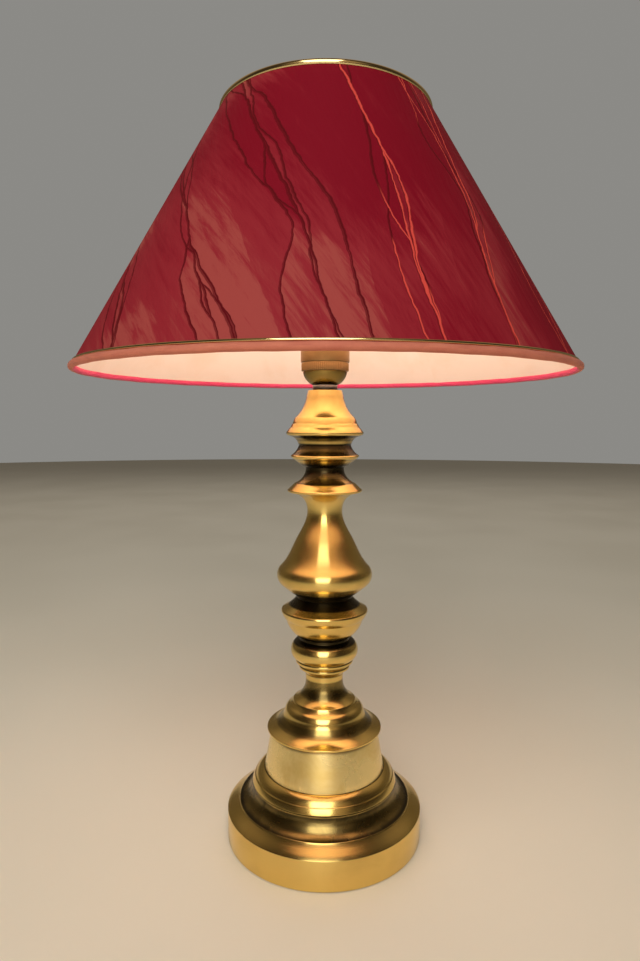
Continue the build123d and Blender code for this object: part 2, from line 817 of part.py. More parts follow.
pieces = {
    "felt_pad": felt_pad,
    "base_weight": base_weight,
    "base_washer": base_washer,
    "base_nut": base_nut,
    "base_spacer": base_spacer,
    "clamp_plate": clamp_plate,
    "base_plinth": base_plinth,
    "cord_gland": cord_gland,
    "gland_nut": gland_nut,
    "base_band": base_band,
    "base_dome": base_dome,
    "lower_knop": lower_knop,
    "lower_bowl": lower_bowl,
    "pear_bell": pear_bell,
    "neck_ring": neck_ring,
    "upper_ring": upper_ring,
    "top_bell": top_bell,
    "lock_collar": lock_collar,
    "centre_rod": centre_rod,
    "holder_cap": holder_cap,
    "cap_grub_screw": cap_grub_screw,
    "holder_skirt": holder_skirt,
    "holder_insert": holder_insert,
    "terminal_screws": Compound(terminal_screws),
    "screw_shell": screw_shell,
    "centre_contact": centre_contact,
    "bulb_contact": bulb_contact,
    "bulb_insulator": bulb_insulator,
    "bulb_cap": bulb_cap,
    "bulb_glass": bulb_glass,
    "bulb_stem": bulb_stem,
    "bulb_leads": Compound(bulb_leads),
    "bulb_filament": bulb_filament,
    "shade_ring_lower": shade_ring_lower,
    "shade_ring_upper": shade_ring_upper,
    "carrier_ring": carrier_ring,
    "carrier_arms": Compound(carrier_arms),
    "shade_top_wire": shade_top_wire,
    "shade_bottom_wire": shade_bottom_wire,
    "shade_lining": shade_lining,
    "shade_cover": shade_cover,
    "bottom_hem": bottom_hem,
    "bottom_piping": bottom_piping,
    "top_trim": top_trim,
}
os.makedirs("parts", exist_ok=True)
for name, solid in pieces.items():
    export_step(solid, f"parts/{name}.step")
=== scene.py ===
import bmesh
import bpy
import json
import math
from mathutils import Matrix, Vector
from mathutils.bvhtree import BVHTree

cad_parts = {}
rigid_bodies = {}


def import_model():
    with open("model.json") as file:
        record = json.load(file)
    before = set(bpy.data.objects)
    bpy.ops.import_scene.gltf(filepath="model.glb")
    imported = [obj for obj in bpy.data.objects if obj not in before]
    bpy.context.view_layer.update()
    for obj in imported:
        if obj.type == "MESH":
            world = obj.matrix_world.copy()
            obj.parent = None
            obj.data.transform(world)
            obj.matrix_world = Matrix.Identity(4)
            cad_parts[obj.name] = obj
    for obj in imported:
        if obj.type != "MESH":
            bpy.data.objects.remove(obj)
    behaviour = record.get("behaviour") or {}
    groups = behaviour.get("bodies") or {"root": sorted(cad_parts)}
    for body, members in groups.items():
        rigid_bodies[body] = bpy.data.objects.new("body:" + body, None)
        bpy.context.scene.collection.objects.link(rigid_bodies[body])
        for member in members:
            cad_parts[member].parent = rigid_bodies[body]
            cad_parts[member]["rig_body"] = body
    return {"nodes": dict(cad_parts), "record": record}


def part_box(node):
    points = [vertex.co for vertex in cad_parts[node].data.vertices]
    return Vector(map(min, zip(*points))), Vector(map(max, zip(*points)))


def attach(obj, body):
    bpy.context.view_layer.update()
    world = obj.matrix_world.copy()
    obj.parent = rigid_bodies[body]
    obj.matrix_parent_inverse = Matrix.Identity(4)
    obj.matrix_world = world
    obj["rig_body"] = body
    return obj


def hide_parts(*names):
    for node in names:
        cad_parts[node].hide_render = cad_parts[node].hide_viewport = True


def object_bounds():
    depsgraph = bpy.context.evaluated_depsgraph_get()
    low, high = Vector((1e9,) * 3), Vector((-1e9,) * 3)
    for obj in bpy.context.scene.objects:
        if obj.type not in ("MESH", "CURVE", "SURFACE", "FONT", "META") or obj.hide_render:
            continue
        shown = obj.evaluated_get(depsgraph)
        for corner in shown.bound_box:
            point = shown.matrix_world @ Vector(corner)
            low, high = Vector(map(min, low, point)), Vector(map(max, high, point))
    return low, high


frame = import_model()
cadLow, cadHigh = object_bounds()
nodes = frame["nodes"]
bodyOf = {node: obj["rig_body"] for node, obj in nodes.items()}
slotOf = {part["node"]: part["material_slot"] for part in frame["record"]["subparts"]}
mm = 0.001
tiny = 0.002 * mm  # closer than this is the same point
near = 10 * tiny  # closer than this lies on the same surface
fullTurn = 2 * math.pi
sharpAngle = 35.0  # degrees between two faces from which their edge is a crease
bevelSteps = 3


# Shader helpers
def put(tree, kind, inputs=None, **settings):
    node = tree.nodes.new("ShaderNode" + kind)
    for key, value in settings.items():
        setattr(node, key, value)
    for key, value in (inputs or {}).items():
        if isinstance(value, bpy.types.NodeSocket):
            tree.links.new(value, node.inputs[key])
        else:
            node.inputs[key].default_value = value
    return node


def calc(tree, operation, first, second=0.0, third=1.0, clamp=False):
    inputs = {0: first, 1: second, 2: third}
    return put(tree, "Math", inputs, operation=operation, use_clamp=clamp).outputs[0]


def plus(tree, first, second):
    return calc(tree, "ADD", first, second)


def times(tree, first, second):
    return calc(tree, "MULTIPLY", first, second)


def larger(tree, first, second):
    return calc(tree, "MAXIMUM", first, second)


def centred(tree, value, amount):
    return times(tree, calc(tree, "SUBTRACT", value, 0.5), amount)


def weighted(tree, first, firstShare, second, secondShare):
    return plus(tree, times(tree, first, firstShare), times(tree, second, secondShare))


def between(tree, share, low, high):
    span = calc(tree, "SUBTRACT", high, low)
    return plus(tree, low, times(tree, share, span))


def mixColor(tree, share, first, second):
    inputs = {0: share, 6: first, 7: second}
    return put(tree, "Mix", inputs, data_type="RGBA", blend_type="MIX", clamp_result=True).outputs[2]


def ramp(tree, value, low, high, toLow=0.0, toHigh=1.0):
    inputs = {"Value": value, "From Min": low, "From Max": high, "To Min": toLow, "To Max": toHigh}
    return put(tree, "MapRange", inputs, interpolation_type="SMOOTHSTEP").outputs[0]


def noiseOf(tree, vector, scale, detail=3.0, roughness=0.5, distortion=0.0, dimensions="3D"):
    inputs = {"Vector": vector, "Scale": scale, "Detail": detail, "Roughness": roughness,
              "Distortion": distortion}
    return put(tree, "TexNoise", inputs, noise_dimensions=dimensions).outputs["Fac"]


def pointAt(tree, x, y, z):
    return put(tree, "CombineXYZ", {"X": x, "Y": y, "Z": z}).outputs[0]


def grainOf(tree, split, size, noise):
    # noise drawn out one way: scales across and along with a place in the noise, then its detail
    across, along, offset = size
    spot = pointAt(tree, times(tree, split["X"], across), times(tree, split["Y"], along), offset)
    return noiseOf(tree, spot, 1.0, *noise)


def turnedPlane(tree, vector, degrees):
    rotation = (0, 0, math.radians(degrees))
    return put(tree, "Mapping", {"Vector": vector, "Rotation": rotation}).outputs[0]


def lengthOf(tree, vector):
    return put(tree, "VectorMath", {0: vector}, operation="LENGTH").outputs["Value"]


def splitOf(tree, vector):
    return put(tree, "SeparateXYZ", {0: vector}).outputs


def flatPlace(tree):
    return put(tree, "UVMap", uv_map="flat").outputs[0]


def objectPlace(tree):
    return put(tree, "TexCoord").outputs["Object"]


def wire(tree, pairs):
    for start, end in pairs:
        tree.links.new(start, end)


def paint(tree, shader, shown, rough):
    wire(tree, [(shown, shader.inputs["Base Color"]), (rough, shader.inputs["Roughness"])])


def bump(tree, shader, height, distance, strength=1.0):
    node = put(tree, "Bump", {"Height": height, "Distance": distance, "Strength": strength})
    tree.links.new(node.outputs[0], shader.inputs["Normal"])


def newGroup(name, inputs, outputs):
    tree = bpy.data.node_groups.new(name, "ShaderNodeTree")
    for label, kind, value in inputs:
        socket = tree.interface.new_socket(label, in_out="INPUT", socket_type="NodeSocket" + kind)
        if value is not None:
            socket.default_value = value
    for label, kind in outputs:
        tree.interface.new_socket(label, in_out="OUTPUT", socket_type="NodeSocket" + kind)
    return tree, tree.nodes.new("NodeGroupInput").outputs, tree.nodes.new("NodeGroupOutput").inputs


def useGroup(tree, group, inputs):
    return put(tree, "Group", inputs, node_tree=group).outputs


def newMaterial(name, **constants):
    material = bpy.data.materials.new(name)
    material.use_nodes = True
    tree = material.node_tree
    shader = tree.nodes["Principled BSDF"]
    for key, value in constants.items():
        shader.inputs[key.replace("_", " ")].default_value = value
    return material, tree, shader


# Lathe lines round the Z axis, tarnish clouds, and patina with painted shade where the recess attribute is
# high
turnedGrain = {
    "lathe": (1400.0, 4.0, 0.7), "clouds": (26.0, 6.0, 0.62, 0.5), "specks": (130.0, 5.0, 0.6),
    "stains": (0.46, 0.72), "spots": (0.60, 0.74), "spotShare": 0.25, "uneven": 0.08,
    "dulledWear": 0.55, "cloudWear": 0.45, "patinaShadeWear": 0.35, "wear": (0.1, 0.9), "speckHeight": 0.2,
}


def buildTurnedMetal():
    look = turnedGrain
    tree, given, out = newGroup("turnedMetal", [
        ("Vector", "Vector", None), ("Recess", "Float", 0.0),
        ("Clean", "Color", (0.8, 0.6, 0.25, 1)), ("Tarnish", "Color", (0.5, 0.35, 0.12, 1)),
        ("PatinaShade", "Color", (0.1, 0.06, 0.02, 1)), ("Blotch", "Float", 0.5), ("Smooth", "Float", 0.15),
        ("Rough", "Float", 0.35), ("Open", "Float", 0.2), ("Closed", "Float", 0.5),
    ], [("Color", "Color"), ("Roughness", "Float"), ("Height", "Float")])
    split = splitOf(tree, given["Vector"])
    flat = put(tree, "CombineXYZ", {"X": split["X"], "Y": split["Y"]}).outputs[0]
    reach = lengthOf(tree, flat)
    ring = put(tree, "CombineXYZ", {"X": reach, "Y": split["Z"]}).outputs[0]
    lathe = noiseOf(tree, ring, *look["lathe"], dimensions="2D")
    clouds = noiseOf(tree, given["Vector"], *look["clouds"])
    specks = noiseOf(tree, given["Vector"], *look["specks"])
    stains = times(tree, ramp(tree, clouds, *look["stains"]), given["Blotch"])
    spots = times(tree, ramp(tree, specks, *look["spots"]), given["Blotch"])
    dulled = larger(tree, stains, times(tree, spots, look["spotShare"]))
    uneven = centred(tree, clouds, look["uneven"])
    # patina and painted shade: the colour goes towards the patina colour where the recess value says the
    # surface is closed in
    dark = ramp(tree, plus(tree, given["Recess"], uneven), given["Open"], given["Closed"])
    shown = mixColor(tree, dulled, given["Clean"], given["Tarnish"])
    shown = mixColor(tree, dark, shown, given["PatinaShade"])
    mixed = weighted(tree, dulled, look["dulledWear"], clouds, look["cloudWear"])
    wear = calc(tree, "ADD", mixed, times(tree, dark, look["patinaShadeWear"]), clamp=True)
    rough = between(tree, ramp(tree, wear, *look["wear"]), given["Smooth"], given["Rough"])
    height = plus(tree, lathe, times(tree, specks, look["speckHeight"]))
    wire(tree, [(shown, out["Color"]), (rough, out["Roughness"]), (height, out["Height"])])
    return tree


# Soft unevenness of handled or painted surfaces
smudgeGrain = {
    "broad": (5.0, 0.6, 0.4), "fine": (3.0, 0.6), "finer": 9.0,
    "broadShare": 0.7, "fineShare": 0.3, "shown": (0.35, 0.65),
}


def buildSmudges():
    look = smudgeGrain
    tree, given, out = newGroup("smudges", [
        ("Vector", "Vector", None), ("Scale", "Float", 60.0), ("Light", "Color", (0.8, 0.8, 0.8, 1)),
        ("Dark", "Color", (0.6, 0.6, 0.6, 1)), ("Smooth", "Float", 0.2), ("Rough", "Float", 0.45),
    ], [("Color", "Color"), ("Roughness", "Float"), ("Height", "Float")])
    broad = noiseOf(tree, given["Vector"], given["Scale"], *look["broad"])
    finer = times(tree, given["Scale"], look["finer"])
    fine = noiseOf(tree, given["Vector"], finer, *look["fine"])
    both = weighted(tree, broad, look["broadShare"], fine, look["fineShare"])
    share = ramp(tree, both, *look["shown"])
    shown = mixColor(tree, share, given["Light"], given["Dark"])
    rough = between(tree, share, given["Smooth"], given["Rough"])
    wire(tree, [(shown, out["Color"]), (rough, out["Roughness"]), (fine, out["Height"])])
    return tree


turnedMetal = buildTurnedMetal()
smudges = buildSmudges()


def metalMaterial(name, look, bumpDepth, turned=0.0):
    # turning marks run round the axis, so they smear a highlight along the section
    material, tree, shader = newMaterial(name, Metallic=1.0, Anisotropic=turned, Anisotropic_Rotation=0.25)
    recess = put(tree, "Attribute", attribute_name="recess", attribute_type="GEOMETRY").outputs["Fac"]
    made = useGroup(tree, turnedMetal, {"Vector": objectPlace(tree), "Recess": recess, **look})
    paint(tree, shader, made["Color"], made["Roughness"])
    bump(tree, shader, made["Height"], bumpDepth)
    return material


def smudgedMaterial(name, look, bumpDepth=0.02 * mm, **constants):
    material, tree, shader = newMaterial(name, **constants)
    made = useGroup(tree, smudges, {"Vector": objectPlace(tree), **look})
    paint(tree, shader, made["Color"], made["Roughness"])
    bump(tree, shader, made["Height"], bumpDepth)
    return material


brassLook = {
    "Clean": (0.82, 0.59, 0.19, 1), "Tarnish": (0.62, 0.40, 0.11, 1), "PatinaShade": (0.05, 0.037, 0.017, 1),
    "Blotch": 0.35, "Smooth": 0.18, "Rough": 0.32, "Open": 0.09, "Closed": 0.20,
}
brushedLook = {**brassLook, "Smooth": 0.21, "Rough": 0.31}
satinLook = {
    "Clean": (1.0, 0.80, 0.37, 1), "Tarnish": (0.84, 0.62, 0.21, 1), "PatinaShade": (0.30, 0.19, 0.07, 1),
    "Blotch": 0.8, "Smooth": 0.26, "Rough": 0.42,
}
holderLook = {
    "Clean": (0.44, 0.27, 0.115, 1), "Tarnish": (0.34, 0.20, 0.08, 1), "PatinaShade": (0.12, 0.08, 0.03, 1),
    "Blotch": 0.7, "Smooth": 0.34, "Rough": 0.50,
}
# painted shade: the cap's brass is a darker copy of the holder's, for the dark surroundings that it reflects
shadedCapLook = {
    **holderLook, "Clean": (0.345, 0.22, 0.060, 1), "Tarnish": (0.205, 0.13, 0.032, 1),
    "Smooth": 0.22, "Rough": 0.36,
}
trimLook = {
    "Clean": (0.80, 0.62, 0.30, 1), "Tarnish": (0.62, 0.45, 0.18, 1), "PatinaShade": (0.2, 0.13, 0.05, 1),
    "Blotch": 0.25, "Smooth": 0.08, "Rough": 0.22,
}
steelLook = {
    "Clean": (0.60, 0.58, 0.54, 1), "Tarnish": (0.40, 0.37, 0.32, 1), "PatinaShade": (0.10, 0.09, 0.08, 1),
    "Blotch": 0.5, "Smooth": 0.22, "Rough": 0.42,
}
wireLook = {"Light": (0.86, 0.85, 0.82, 1), "Dark": (0.72, 0.70, 0.66, 1), "Smooth": 0.28, "Rough": 0.5}
ironLook = {"Light": (0.12, 0.11, 0.10, 1), "Dark": (0.05, 0.045, 0.04, 1), "Smooth": 0.6, "Rough": 0.85}
potLook = {"Light": (0.84, 0.81, 0.74, 1), "Dark": (0.70, 0.66, 0.58, 1), "Smooth": 0.35, "Rough": 0.6}
vitriteLook = {"Light": (0.03, 0.03, 0.03, 1), "Dark": (0.012, 0.012, 0.012, 1), "Smooth": 0.12,
               "Rough": 0.3}
stemLook = {"Light": (0.92, 0.94, 0.94, 1), "Dark": (0.84, 0.87, 0.87, 1), "Smooth": 0.02, "Rough": 0.1}
opalLook = {"Light": (0.95, 0.90, 0.82, 1), "Dark": (0.90, 0.84, 0.75, 1), "Smooth": 0.18, "Rough": 0.3}
opalGlow = {"Emission_Color": (1, 0.78, 0.52, 1), "Emission_Strength": 3.0}
finishes = {
    "polished_brass": metalMaterial("polishedBrass", brassLook, 0.012 * mm, 0.45),
    "satin_brass": metalMaterial("satinBrass", satinLook, 0.02 * mm, 0.45),
    "holder_brass": metalMaterial("holderBrass", holderLook, 0.02 * mm),
    "gold_trim": metalMaterial("goldTrim", trimLook, 0.01 * mm),
    "plated_steel": metalMaterial("platedSteel", steelLook, 0.02 * mm),
    "white_wire": smudgedMaterial("whiteWire", wireLook, 0.05 * mm),
    "iron": smudgedMaterial("castIron", ironLook, 0.25 * mm, Metallic=0.6),
    "porcelain": smudgedMaterial("porcelain", potLook, 0.03 * mm),
    "black_glass": smudgedMaterial("vitrite", vitriteLook),
    "clear_glass": smudgedMaterial("stemGlass", stemLook, Transmission_Weight=0.9),
    "opal_glass": smudgedMaterial("opalGlass", opalLook, **opalGlow),
}
print("materials:", len(finishes))


# Shade cloth: bundles of veins that part and join, with paler brushed patches beside them
shadeCloth = {
    "lean": 14.5,  # degrees between the veins and a line down the front
    "sweep": 16.0,  # degrees between the brush streaks and the veins
    "spacing": 0.064, "start": -0.0060,  # metres between the bundles, and where the first one lies
    "sway": 0.055, "kinks": 0.0045, "patch": 0.058,  # metres
    "swayNoise": ((5.0, 5.0, 0.0), (1.0,)), "kinkNoise": ((20.0, 75.0, 5.5), (2.0, 0.55)),
    "brush": ((150.0, 14.0, 0.0), (5.0, 0.70, 0.4)), "fibres": ((640.0, 34.0, 0.0), (4.0, 0.65)),
    "patches": ((10.0, 6.5, 21.0), (1.0,)), "grain": ((700.0, 1500.0, 0.0), (2.0, 0.6)),
    "swellNoise": (45.0, 2.0), "swell": (0.3, 0.7, 0.6, 1.3),
    "bundleStep": 7.31,  # from one bundle to the next in the noise
    "firstBright": -1.5, "brightThick": 0.45,  # bundles past this one shine, and are thicker by this share
    "strandNoise": (1.0, 1.0, 0.4), "line": (1.5, 0.5),
    "shadowAside": 1.6, "shadowShare": 0.75, "litPlace": 40, "litNoise": (0.7, 0.0), "litFade": 0.06,
    "patchShown": (0.40, 0.56), "brushEdge": 1.6, "patchEdge": (1.0, 1.9),
    "streaks": 0.9, "hairs": 0.35, "broad": 0.6, "patchTone": 0.45,
    "downTone": (0.18, 0.42, 0.04, 0.34), "sideLightTone": (-0.30, 0.18, 0.26, -0.14),
    "middleFrom": (0.05, 0.50), "paleFrom": (0.48, 0.95), "rough": (0.2, 0.8, 0.50, 0.68),
    "grainHeight": 0.40, "fibreHeight": 0.30, "bump": 0.25 * mm, "bumpStrength": 0.8,
    # each strand: reach to one side and half width in metres, waves per metre, where it parts from the
    # stem, its place in the noise, how much paler the cloth is inside it, and where it shines
    "strandKeys": ("reach", "half", "waves", "parts", "seed", "fill", "lit"),
    "strands": [
        (0.001, 0.00050, 5.0, 0.40, 3.1, 0.0, 0.42),
        (0.080, 0.00060, 6.0, 0.40, 7.7, 0.12, 0.36),
        (-0.085, 0.00044, 7.0, 0.42, 12.4, -0.12, 0.54),
        (0.055, 0.00040, 9.0, 0.42, 18.9, 0.06, 0.40),
        (-0.055, 0.00038, 11.0, 0.43, 26.3, -0.05, 0.46),
    ],
    "deep": (0.225, 0.0032, 0.0145, 1), "middle": (0.30, 0.0190, 0.029, 1), "pale": (0.38, 0.062, 0.055, 1),
    "darkVeinAndShadow": (0.115, 0.0024, 0.0060, 1), "brightVein": (0.74, 0.078, 0.058, 1),
}


def lineMask(tree, beside, half):
    away = calc(tree, "ABSOLUTE", beside)
    return ramp(tree, calc(tree, "DIVIDE", away, half), *shadeCloth["line"])


def shadeClothMaterial():
    look = shadeCloth
    material, tree, shader = newMaterial("shadeCloth", Specular_IOR_Level=0.08)
    flat = flatPlace(tree)
    reach = lengthOf(tree, flat)
    turned = turnedPlane(tree, flat, -look["lean"])
    split = splitOf(tree, turned)
    across, along = split["X"], split["Y"]
    swell = ramp(tree, noiseOf(tree, turned, *look["swellNoise"]), *look["swell"])
    swept = splitOf(tree, turnedPlane(tree, turned, -look["sweep"]))
    brush = grainOf(tree, swept, *look["brush"])
    fibres = grainOf(tree, split, *look["fibres"])
    sway = grainOf(tree, split, *look["swayNoise"])
    shift = centred(tree, sway, look["sway"])
    kinks = grainOf(tree, split, *look["kinkNoise"])
    shift = plus(tree, shift, centred(tree, kinks, look["kinks"]))
    moved = calc(tree, "SUBTRACT", plus(tree, across, shift), look["start"])
    place = calc(tree, "DIVIDE", moved, look["spacing"])
    bundle = calc(tree, "FLOOR", place)
    aside = centred(tree, calc(tree, "FRACT", place), look["spacing"])
    apart = times(tree, bundle, look["bundleStep"])
    bright = calc(tree, "GREATER_THAN", bundle, look["firstBright"])
    thick = times(tree, swell, calc(tree, "MULTIPLY_ADD", bright, look["brightThick"]))
    dark = 0.0
    lit = 0.0
    patch = 0.0
    fill = 0.0
    for row in look["strands"]:
        strand = dict(zip(look["strandKeys"], row))
        side = math.copysign(1.0, strand["reach"])
        climb = times(tree, along, strand["waves"])
        spot = pointAt(tree, climb, apart, strand["seed"])
        parted = calc(tree, "SUBTRACT", noiseOf(tree, spot, *look["strandNoise"]), strand["parts"])
        offset = times(tree, larger(tree, parted, 0.0), strand["reach"])
        beside = calc(tree, "SUBTRACT", aside, offset)
        half = times(tree, thick, strand["half"])
        line = lineMask(tree, beside, half)
        # painted shadow: a dark line just beside each vein, as if the raised vein shaded the cloth
        edge = plus(tree, beside, look["shadowAside"] * strand["half"])
        under = times(tree, lineMask(tree, edge, half), look["shadowShare"])
        there = pointAt(tree, climb, apart, strand["seed"] + look["litPlace"])
        shine = noiseOf(tree, there, *look["litNoise"])
        glows = ramp(tree, shine, strand["lit"], strand["lit"] + look["litFade"])
        glows = times(tree, glows, bright)
        lit = larger(tree, lit, times(tree, line, glows))
        dark = larger(tree, dark, larger(tree, line, under))
        within = calc(tree, "GREATER_THAN", times(tree, aside, side), 0.0)
        within = times(tree, within, calc(tree, "LESS_THAN", times(tree, beside, side), 0.0))
        fill = plus(tree, fill, times(tree, within, strand["fill"]))
        fading = {"Value": beside, "From Min": 0.0, "From Max": look["patch"], "To Min": 1.0, "To Max": 0.0}
        fade = put(tree, "MapRange", fading).outputs[0]
        right = times(tree, calc(tree, "GREATER_THAN", beside, 0.0), fade)
        patch = larger(tree, patch, right)
    patches = grainOf(tree, split, *look["patches"])
    patch = times(tree, patch, ramp(tree, patches, *look["patchShown"]))
    patch = ramp(tree, plus(tree, patch, times(tree, brush, look["brushEdge"])), *look["patchEdge"])
    streaks = centred(tree, brush, look["streaks"])
    hairs = centred(tree, fibres, look["hairs"])
    broad = centred(tree, patches, look["broad"])
    tone = plus(tree, times(tree, patch, look["patchTone"]), plus(tree, streaks, hairs))
    tone = plus(tree, tone, plus(tree, fill, broad))
    tone = plus(tree, tone, ramp(tree, reach, *look["downTone"]))
    # painted light and shade: the cloth is paler to the left of the front and darker to the right
    tone = plus(tree, tone, ramp(tree, across, *look["sideLightTone"]))
    shown = mixColor(tree, ramp(tree, tone, *look["middleFrom"]), look["deep"], look["middle"])
    shown = mixColor(tree, ramp(tree, tone, *look["paleFrom"]), shown, look["pale"])
    # dark veins, and the painted shadow beside them, in one dark colour
    shown = mixColor(tree, dark, shown, look["darkVeinAndShadow"])
    shown = mixColor(tree, lit, shown, look["brightVein"])
    vein = larger(tree, lit, dark)
    rough = ramp(tree, fibres, *look["rough"])
    grain = grainOf(tree, split, *look["grain"])
    height = plus(tree, vein, times(tree, grain, look["grainHeight"]))
    height = plus(tree, height, times(tree, fibres, look["fibreHeight"]))
    paint(tree, shader, shown, rough)
    bump(tree, shader, height, look["bump"], look["bumpStrength"])
    return material


# Woven tape of the hem, on its own flat coordinates
hemLow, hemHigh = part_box("bottom_hem")
hem = {
    "columns": 360, "rows": 18, "section": (hemHigh.z - hemLow.z) / 2, "waver": 0.10 * mm,
    "longWaves": 23, "shortWaves": 57, "shortShare": 0.6,  # counted round the hem, and the short ones' depth
}
hemTape = {
    "threads": 2100.0, "clouds": (55.0, 4.0, 0.6), "threadShare": 0.35, "cloudShare": 0.65,
    "light": (0.72, 0.24, 0.15, 1), "dark": (0.54, 0.135, 0.088, 1), "shown": (0.25, 0.85),
    "inside": (0.66, 0.065, 0.17, 1), "insideFrom": (1.6, 2.2),  # pinker painted glow of the lamp's light through the tape on its inner side, and where it fades in round the section, in its radius
    "rough": (0.3, 0.7, 0.5, 0.7), "bump": 0.06 * mm,
}
hemSheen = {"Sheen_Weight": 0.06, "Sheen_Roughness": 0.4, "Specular_IOR_Level": 0.2}


def hemMaterial():
    look = hemTape
    material, tree, shader = newMaterial("hemTape", **hemSheen)
    flat = flatPlace(tree)
    split = splitOf(tree, flat)
    weave = []
    for axis in ("X", "Y"):
        swing = calc(tree, "SINE", times(tree, split[axis], look["threads"] * math.pi))
        weave.append(times(tree, swing, swing))
    threads = larger(tree, *weave)
    clouds = noiseOf(tree, flat, *look["clouds"], dimensions="2D")
    share = weighted(tree, threads, look["threadShare"], clouds, look["cloudShare"])
    shown = mixColor(tree, ramp(tree, share, *look["shown"]), look["dark"], look["light"])
    # painted glow: the inner half of the rolled tape, which faces the bulb, takes a pinker colour for light
    # shining through it
    inner = calc(tree, "PINGPONG", split["Y"], math.pi * hem["section"])
    edges = [turn * hem["section"] for turn in look["insideFrom"]]
    shown = mixColor(tree, ramp(tree, inner, *edges), shown, look["inside"])
    rough = ramp(tree, clouds, *look["rough"])
    paint(tree, shader, shown, rough)
    bump(tree, shader, threads, look["bump"])
    return material


# White sheet inside the shade, faintly mottled
liningSheet = {
    "clouds": (16.0, 5.0, 0.6, 0.3), "grain": (900.0, 3.0, 0.6), "mottle": (0.42, 0.72),
    "clean": (0.88, 0.79, 0.75, 1), "aged": (0.85, 0.73, 0.66, 1),
    "rough": (0.3, 0.7, 0.55, 0.75), "bump": 0.04 * mm,
}


def liningMaterial():
    look = liningSheet
    material, tree, shader = newMaterial("liningSheet", Specular_IOR_Level=0.25)
    flat = flatPlace(tree)
    clouds = noiseOf(tree, flat, *look["clouds"], dimensions="2D")
    grain = noiseOf(tree, flat, *look["grain"], dimensions="2D")
    shown = mixColor(tree, ramp(tree, clouds, *look["mottle"]), look["clean"], look["aged"])
    rough = ramp(tree, grain, *look["rough"])
    paint(tree, shader, shown, rough)
    bump(tree, shader, grain, look["bump"])
    return material


# Pressed felt: matted fibres
feltLook = {
    "fibres": (1400.0, 5.0, 0.7, 1.5), "clouds": (90.0, 3.0), "fibreShare": 0.7, "cloudShare": 0.3,
    "light": (0.035, 0.085, 0.045, 1), "dark": (0.012, 0.035, 0.018, 1), "shown": (0.35, 0.65),
    "rough": (0.3, 0.7, 0.85, 1.0), "bump": 0.3 * mm,
}
feltSheen = {"Sheen_Weight": 0.5, "Sheen_Roughness": 0.6, "Specular_IOR_Level": 0.1}


def feltMaterial():
    look = feltLook
    material, tree, shader = newMaterial("pressedFelt", **feltSheen)
    place = objectPlace(tree)
    fibres = noiseOf(tree, place, *look["fibres"])
    clouds = noiseOf(tree, place, *look["clouds"])
    share = weighted(tree, fibres, look["fibreShare"], clouds, look["cloudShare"])
    shown = mixColor(tree, ramp(tree, share, *look["shown"]), look["dark"], look["light"])
    rough = ramp(tree, fibres, *look["rough"])
    paint(tree, shader, shown, rough)
    bump(tree, shader, fibres, look["bump"])
    return material


finishes["red_cloth"] = shadeClothMaterial()
finishes["hem_cloth"] = hemMaterial()
finishes["white_lining"] = liningMaterial()
finishes["felt"] = feltMaterial()
for node, obj in nodes.items():
    obj.data.materials.clear()
    obj.data.materials.append(finishes[slotOf[node]])
print("every node has its finish")


# Mesh helpers
def addObject(name, data):
    obj = bpy.data.objects.new(name, data)
    bpy.context.scene.collection.objects.link(obj)
    return obj


def meshOf(work, name):
    mesh = bpy.data.meshes.new(name)
    work.to_mesh(mesh)
    work.free()
    return mesh


def finishPiece(work, name, node):
    mesh = meshOf(work, name)
    mesh.shade_smooth()
    mesh.set_sharp_from_angle(angle=math.radians(sharpAngle))
    piece = addObject(name, mesh)
    mesh.materials.append(finishes[slotOf[node]])
    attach(piece, bodyOf[node])
    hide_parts(node)
    return piece


def outlineOf(node):
    # the node's half section, from the edges on its +X half plane
    outline = bmesh.new()
    outline.from_mesh(nodes[node].data)
    bmesh.ops.remove_doubles(outline, verts=outline.verts, dist=tiny)
    away = [v for v in outline.verts if abs(v.co.y) > tiny or v.co.x < -tiny]
    bmesh.ops.delete(outline, geom=away, context="VERTS")
    return outline


def easeEdges(work, geom, size, affect):
    bmesh.ops.bevel(work, geom=geom, offset=size, offset_type="OFFSET", segments=bevelSteps, profile=0.5,
                    affect=affect, clamp_overlap=True, material=-1)


def roundCorners(outline, size, sharp=18.0):
    corners = []
    for vert in outline.verts:
        if len(vert.link_edges) == 2:
            ways = [edge.other_vert(vert).co - vert.co for edge in vert.link_edges]
            if ways[0].angle(ways[1]) < math.pi - math.radians(sharp):
                corners.append(vert)
    easeEdges(outline, corners, size, "VERTICES")


def spinRound(outline, steps):
    geom = list(outline.verts) + list(outline.edges)
    bmesh.ops.spin(outline, geom=geom, cent=(0, 0, 0), axis=(0, 0, 1), dvec=(0, 0, 0), angle=fullTurn,
                   steps=steps, use_merge=True)
    bmesh.ops.remove_doubles(outline, verts=outline.verts, dist=tiny)
    bmesh.ops.recalc_face_normals(outline, faces=outline.faces)


def bentGrid(columns, rows, bend):
    # a grid that bend places: shares round and up it give a point and its place on the flat sheet
    work = bmesh.new()
    flatLayer = work.loops.layers.uv.new("flat")
    bmesh.ops.create_grid(work, x_segments=columns, y_segments=rows, size=0.5)
    flat = {}
    for vert in work.verts:
        vert.co, flat[vert] = bend(vert.co.x + 0.5, vert.co.y + 0.5)
    for face in work.faces:
        for loop in face.loops:
            loop[flatLayer].uv = flat[loop.vert]
    return work


